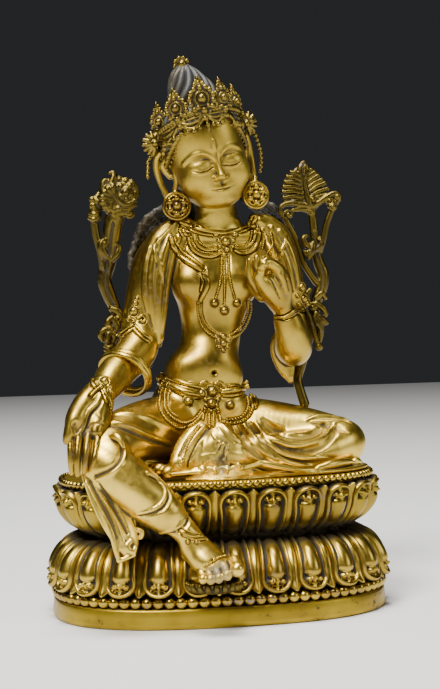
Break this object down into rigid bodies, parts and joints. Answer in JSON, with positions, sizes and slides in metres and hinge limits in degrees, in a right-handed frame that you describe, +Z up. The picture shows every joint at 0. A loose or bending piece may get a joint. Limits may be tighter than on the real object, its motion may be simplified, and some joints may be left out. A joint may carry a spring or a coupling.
{
  "type": "tara figure",
  "caption": "Cast gilt bronze figure seated at ease on an oval double-lotus throne, one foot down on a small lotus, with a lotus stem at each shoulder.",
  "frame": {"origin": "centre of the throne's flat underside", "axes": "+Z up, the figure faces -Y, and +X is towards the figure's left"},
  "size_m": [0.1502, 0.1285, 0.2508],
  "materials": {
    "gilt_bronze": "worn warm fire gilding, brown in the hollows, with old blue-grey colour on the hair"
  },
  "bodies": {
    "root": {"tara_figure": "gilt_bronze"}
  },
  "joints": []
}
